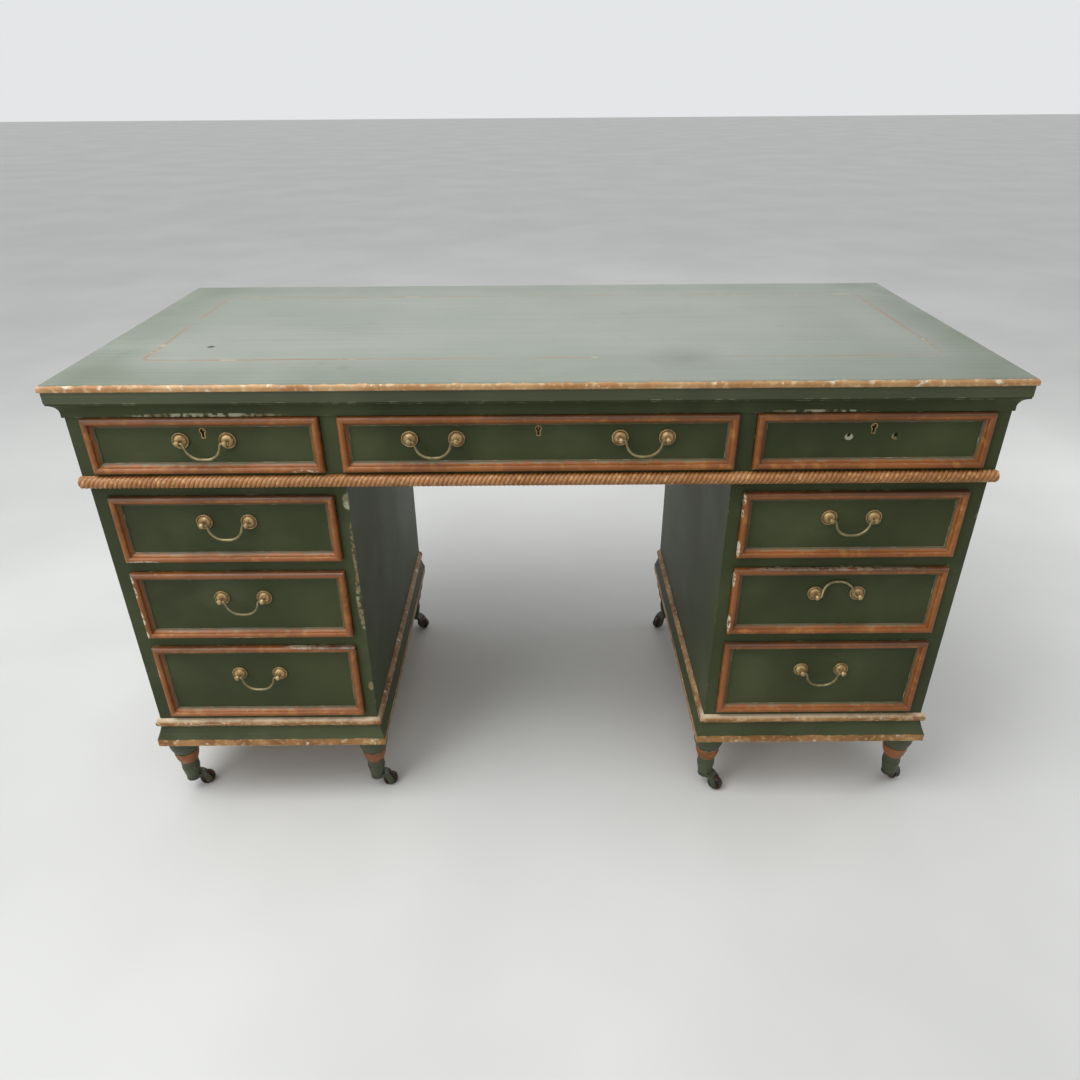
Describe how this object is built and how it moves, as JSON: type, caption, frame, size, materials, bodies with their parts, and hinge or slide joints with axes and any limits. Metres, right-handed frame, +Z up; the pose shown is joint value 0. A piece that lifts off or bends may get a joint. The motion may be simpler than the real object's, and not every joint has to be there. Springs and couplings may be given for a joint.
{
  "type": "pedestal desk",
  "caption": "Painted pine kneehole desk: a frieze of locking drawers on two pedestals of drawers, swan-neck handles, rope and plinth mouldings, turned feet on casters",
  "frame": {"origin": "on the floor under the middle of the desk top", "axes": "+X to the right of someone facing the drawers, +Y to the back, +Z up; the drawers face -Y"},
  "size_m": [1.219, 0.544, 0.717],
  "materials": {
    "painted_top": "satin paint, worn at the edges",
    "green_painted_pine": "satin paint",
    "gilt_moulding": "worn gilt and brown paint",
    "antique_brass": "dull, tarnished",
    "painted_iron": "brushed-over green paint",
    "dark_iron": "dark and rusty"
  },
  "bodies": {
    "desk": {"desk_top": "painted_top", "cornice_moulding": "green_painted_pine", "frieze_carcass": "green_painted_pine", "rope_moulding": "gilt_moulding", "right_pedestal_carcass": "green_painted_pine", "left_pedestal_carcass": "green_painted_pine", "plinth_mouldings": "gilt_moulding", "turned_feet": "green_painted_pine"},
    "left_frieze_drawer": {"left_frieze_drawer": "green_painted_pine", "left_frieze_drawer_moulding": "gilt_moulding", "left_frieze_drawer_brassware": "antique_brass"},
    "left_frieze_drawer_bail": {"left_frieze_drawer_bail": "antique_brass"},
    "middle_frieze_drawer": {"middle_frieze_drawer": "green_painted_pine", "middle_frieze_drawer_moulding": "gilt_moulding", "middle_frieze_drawer_brassware": "antique_brass"},
    "middle_frieze_drawer_left_bail": {"middle_frieze_drawer_left_bail": "antique_brass"},
    "middle_frieze_drawer_right_bail": {"middle_frieze_drawer_right_bail": "antique_brass"},
    "right_frieze_drawer": {"right_frieze_drawer": "green_painted_pine", "right_frieze_drawer_moulding": "gilt_moulding", "right_frieze_drawer_brassware": "antique_brass"},
    "left_upper_drawer": {"left_upper_drawer": "green_painted_pine", "left_upper_drawer_moulding": "gilt_moulding", "left_upper_drawer_brassware": "antique_brass"},
    "left_upper_drawer_bail": {"left_upper_drawer_bail": "antique_brass"},
    "left_middle_drawer": {"left_middle_drawer": "green_painted_pine", "left_middle_drawer_moulding": "gilt_moulding", "left_middle_drawer_brassware": "antique_brass"},
    "left_middle_drawer_bail": {"left_middle_drawer_bail": "antique_brass"},
    "left_lower_drawer": {"left_lower_drawer": "green_painted_pine", "left_lower_drawer_moulding": "gilt_moulding", "left_lower_drawer_brassware": "antique_brass"},
    "left_lower_drawer_bail": {"left_lower_drawer_bail": "antique_brass"},
    "right_upper_drawer": {"right_upper_drawer": "green_painted_pine", "right_upper_drawer_moulding": "gilt_moulding", "right_upper_drawer_brassware": "antique_brass"},
    "right_upper_drawer_bail": {"right_upper_drawer_bail": "antique_brass"},
    "right_middle_drawer": {"right_middle_drawer": "green_painted_pine", "right_middle_drawer_moulding": "gilt_moulding", "right_middle_drawer_brassware": "antique_brass"},
    "right_middle_drawer_bail": {"right_middle_drawer_bail": "antique_brass"},
    "right_lower_drawer": {"right_lower_drawer": "green_painted_pine", "right_lower_drawer_moulding": "gilt_moulding", "right_lower_drawer_brassware": "antique_brass"},
    "right_lower_drawer_bail": {"right_lower_drawer_bail": "antique_brass"},
    "left_front_inner_caster_horn": {"left_front_inner_caster_horn": "painted_iron"},
    "left_front_inner_caster_wheel": {"left_front_inner_caster_wheel": "dark_iron"},
    "right_front_inner_caster_horn": {"right_front_inner_caster_horn": "painted_iron"},
    "right_front_inner_caster_wheel": {"right_front_inner_caster_wheel": "dark_iron"},
    "left_front_outer_caster_horn": {"left_front_outer_caster_horn": "painted_iron"},
    "left_front_outer_caster_wheel": {"left_front_outer_caster_wheel": "dark_iron"},
    "right_front_outer_caster_horn": {"right_front_outer_caster_horn": "painted_iron"},
    "right_front_outer_caster_wheel": {"right_front_outer_caster_wheel": "dark_iron"},
    "left_back_inner_caster_horn": {"left_back_inner_caster_horn": "painted_iron"},
    "left_back_inner_caster_wheel": {"left_back_inner_caster_wheel": "dark_iron"},
    "right_back_inner_caster_horn": {"right_back_inner_caster_horn": "painted_iron"},
    "right_back_inner_caster_wheel": {"right_back_inner_caster_wheel": "dark_iron"},
    "left_back_outer_caster_horn": {"left_back_outer_caster_horn": "painted_iron"},
    "left_back_outer_caster_wheel": {"left_back_outer_caster_wheel": "dark_iron"},
    "right_back_outer_caster_horn": {"right_back_outer_caster_horn": "painted_iron"},
    "right_back_outer_caster_wheel": {"right_back_outer_caster_wheel": "dark_iron"}
  },
  "joints": [
    {"name": "left_frieze_drawer_slide", "type": "slide", "parent": "desk", "child": "left_frieze_drawer", "axis": [0, -1, 0], "range_m": [0, 0.34]},
    {"name": "left_frieze_drawer_bail_swing", "type": "hinge", "parent": "left_frieze_drawer", "child": "left_frieze_drawer_bail", "pos_m": [-0.4255, -0.2675, 0.63891], "axis": [-1, 0, 0], "range_deg": [-26, 186]},
    {"name": "middle_frieze_drawer_slide", "type": "slide", "parent": "desk", "child": "middle_frieze_drawer", "axis": [0, -1, 0], "range_m": [0, 0.34]},
    {"name": "middle_frieze_drawer_left_bail_swing", "type": "hinge", "parent": "middle_frieze_drawer", "child": "middle_frieze_drawer_left_bail", "pos_m": [-0.134, -0.2675, 0.63891], "axis": [-1, 0, 0], "range_deg": [-26, 186]},
    {"name": "middle_frieze_drawer_right_bail_swing", "type": "hinge", "parent": "middle_frieze_drawer", "child": "middle_frieze_drawer_right_bail", "pos_m": [0.134, -0.2675, 0.63891], "axis": [-1, 0, 0], "range_deg": [-26, 186]},
    {"name": "right_frieze_drawer_slide", "type": "slide", "parent": "desk", "child": "right_frieze_drawer", "axis": [0, -1, 0], "range_m": [0, 0.34]},
    {"name": "left_upper_drawer_slide", "type": "slide", "parent": "desk", "child": "left_upper_drawer", "axis": [0, -1, 0], "range_m": [0, 0.34]},
    {"name": "left_upper_drawer_bail_swing", "type": "hinge", "parent": "left_upper_drawer", "child": "left_upper_drawer_bail", "pos_m": [-0.421, -0.263, 0.51943], "axis": [-1, 0, 0], "range_deg": [-26, 206]},
    {"name": "left_middle_drawer_slide", "type": "slide", "parent": "desk", "child": "left_middle_drawer", "axis": [0, -1, 0], "range_m": [0, 0.34]},
    {"name": "left_middle_drawer_bail_swing", "type": "hinge", "parent": "left_middle_drawer", "child": "left_middle_drawer_bail", "pos_m": [-0.421, -0.263, 0.39784], "axis": [-1, 0, 0], "range_deg": [-26, 206]},
    {"name": "left_lower_drawer_slide", "type": "slide", "parent": "desk", "child": "left_lower_drawer", "axis": [0, -1, 0], "range_m": [0, 0.34]},
    {"name": "left_lower_drawer_bail_swing", "type": "hinge", "parent": "left_lower_drawer", "child": "left_lower_drawer_bail", "pos_m": [-0.421, -0.263, 0.2622], "axis": [-1, 0, 0], "range_deg": [-26, 206]},
    {"name": "right_upper_drawer_slide", "type": "slide", "parent": "desk", "child": "right_upper_drawer", "axis": [0, -1, 0], "range_m": [0, 0.34]},
    {"name": "right_upper_drawer_bail_swing", "type": "hinge", "parent": "right_upper_drawer", "child": "right_upper_drawer_bail", "pos_m": [0.421, -0.263, 0.51943], "axis": [-1, 0, 0], "range_deg": [-26, 206]},
    {"name": "right_middle_drawer_slide", "type": "slide", "parent": "desk", "child": "right_middle_drawer", "axis": [0, -1, 0], "range_m": [0, 0.34]},
    {"name": "right_middle_drawer_bail_swing", "type": "hinge", "parent": "right_middle_drawer", "child": "right_middle_drawer_bail", "pos_m": [0.421, -0.263, 0.39784], "axis": [-1, 0, 0], "range_deg": [-234, 0]},
    {"name": "right_lower_drawer_slide", "type": "slide", "parent": "desk", "child": "right_lower_drawer", "axis": [0, -1, 0], "range_m": [0, 0.34]},
    {"name": "right_lower_drawer_bail_swing", "type": "hinge", "parent": "right_lower_drawer", "child": "right_lower_drawer_bail", "pos_m": [0.421, -0.263, 0.2622], "axis": [-1, 0, 0], "range_deg": [-26, 206]},
    {"name": "left_front_inner_caster_swivel", "type": "hinge", "parent": "desk", "child": "left_front_inner_caster_horn", "pos_m": [-0.273, -0.2235, 0.0305], "axis": [0, 0, 1], "continuous": true},
    {"name": "left_front_inner_caster_spin", "type": "hinge", "parent": "left_front_inner_caster_horn", "child": "left_front_inner_caster_wheel", "pos_m": [-0.25377, -0.21799, 0.012], "axis": [-0.2756, 0.9613, 0], "continuous": true},
    {"name": "right_front_inner_caster_swivel", "type": "hinge", "parent": "desk", "child": "right_front_inner_caster_horn", "pos_m": [0.273, -0.2235, 0.0305], "axis": [0, 0, 1], "continuous": true},
    {"name": "right_front_inner_caster_spin", "type": "hinge", "parent": "right_front_inner_caster_horn", "child": "right_front_inner_caster_wheel", "pos_m": [0.28996, -0.2341, 0.012], "axis": [0.5299, 0.848, 0], "continuous": true},
    {"name": "left_front_outer_caster_swivel", "type": "hinge", "parent": "desk", "child": "left_front_outer_caster_horn", "pos_m": [-0.5805, -0.2235, 0.0305], "axis": [0, 0, 1], "continuous": true},
    {"name": "left_front_outer_caster_spin", "type": "hinge", "parent": "left_front_outer_caster_horn", "child": "left_front_outer_caster_wheel", "pos_m": [-0.56432, -0.21174, 0.012], "axis": [-0.5878, 0.809, 0], "continuous": true},
    {"name": "right_front_outer_caster_swivel", "type": "hinge", "parent": "desk", "child": "right_front_outer_caster_horn", "pos_m": [0.5805, -0.2235, 0.0305], "axis": [0, 0, 1], "continuous": true},
    {"name": "right_front_outer_caster_spin", "type": "hinge", "parent": "right_front_outer_caster_horn", "child": "right_front_outer_caster_wheel", "pos_m": [0.59668, -0.21174, 0.012], "axis": [-0.5878, 0.809, 0], "continuous": true},
    {"name": "left_back_inner_caster_swivel", "type": "hinge", "parent": "desk", "child": "left_back_inner_caster_horn", "pos_m": [-0.273, 0.24, 0.0305], "axis": [0, 0, 1], "continuous": true},
    {"name": "left_back_inner_caster_spin", "type": "hinge", "parent": "left_back_inner_caster_horn", "child": "left_back_inner_caster_wheel", "pos_m": [-0.25368, 0.23482, 0.012], "axis": [0.2588, 0.9659, 0], "continuous": true},
    {"name": "right_back_inner_caster_swivel", "type": "hinge", "parent": "desk", "child": "right_back_inner_caster_horn", "pos_m": [0.273, 0.24, 0.0305], "axis": [0, 0, 1], "continuous": true},
    {"name": "right_back_inner_caster_spin", "type": "hinge", "parent": "right_back_inner_caster_horn", "child": "right_back_inner_caster_wheel", "pos_m": [0.25568, 0.23, 0.012], "axis": [0.5, -0.866, 0], "continuous": true},
    {"name": "left_back_outer_caster_swivel", "type": "hinge", "parent": "desk", "child": "left_back_outer_caster_horn", "pos_m": [-0.5805, 0.24, 0.0305], "axis": [0, 0, 1], "continuous": true},
    {"name": "left_back_outer_caster_spin", "type": "hinge", "parent": "left_back_outer_caster_horn", "child": "left_back_outer_caster_wheel", "pos_m": [-0.56518, 0.22714, 0.012], "axis": [0.6428, 0.766, 0], "continuous": true},
    {"name": "right_back_outer_caster_swivel", "type": "hinge", "parent": "desk", "child": "right_back_outer_caster_horn", "pos_m": [0.5805, 0.24, 0.0305], "axis": [0, 0, 1], "continuous": true},
    {"name": "right_back_outer_caster_spin", "type": "hinge", "parent": "right_back_outer_caster_horn", "child": "right_back_outer_caster_wheel", "pos_m": [0.56171, 0.23316, 0.012], "axis": [0.342, -0.9397, 0], "continuous": true}
  ]
}
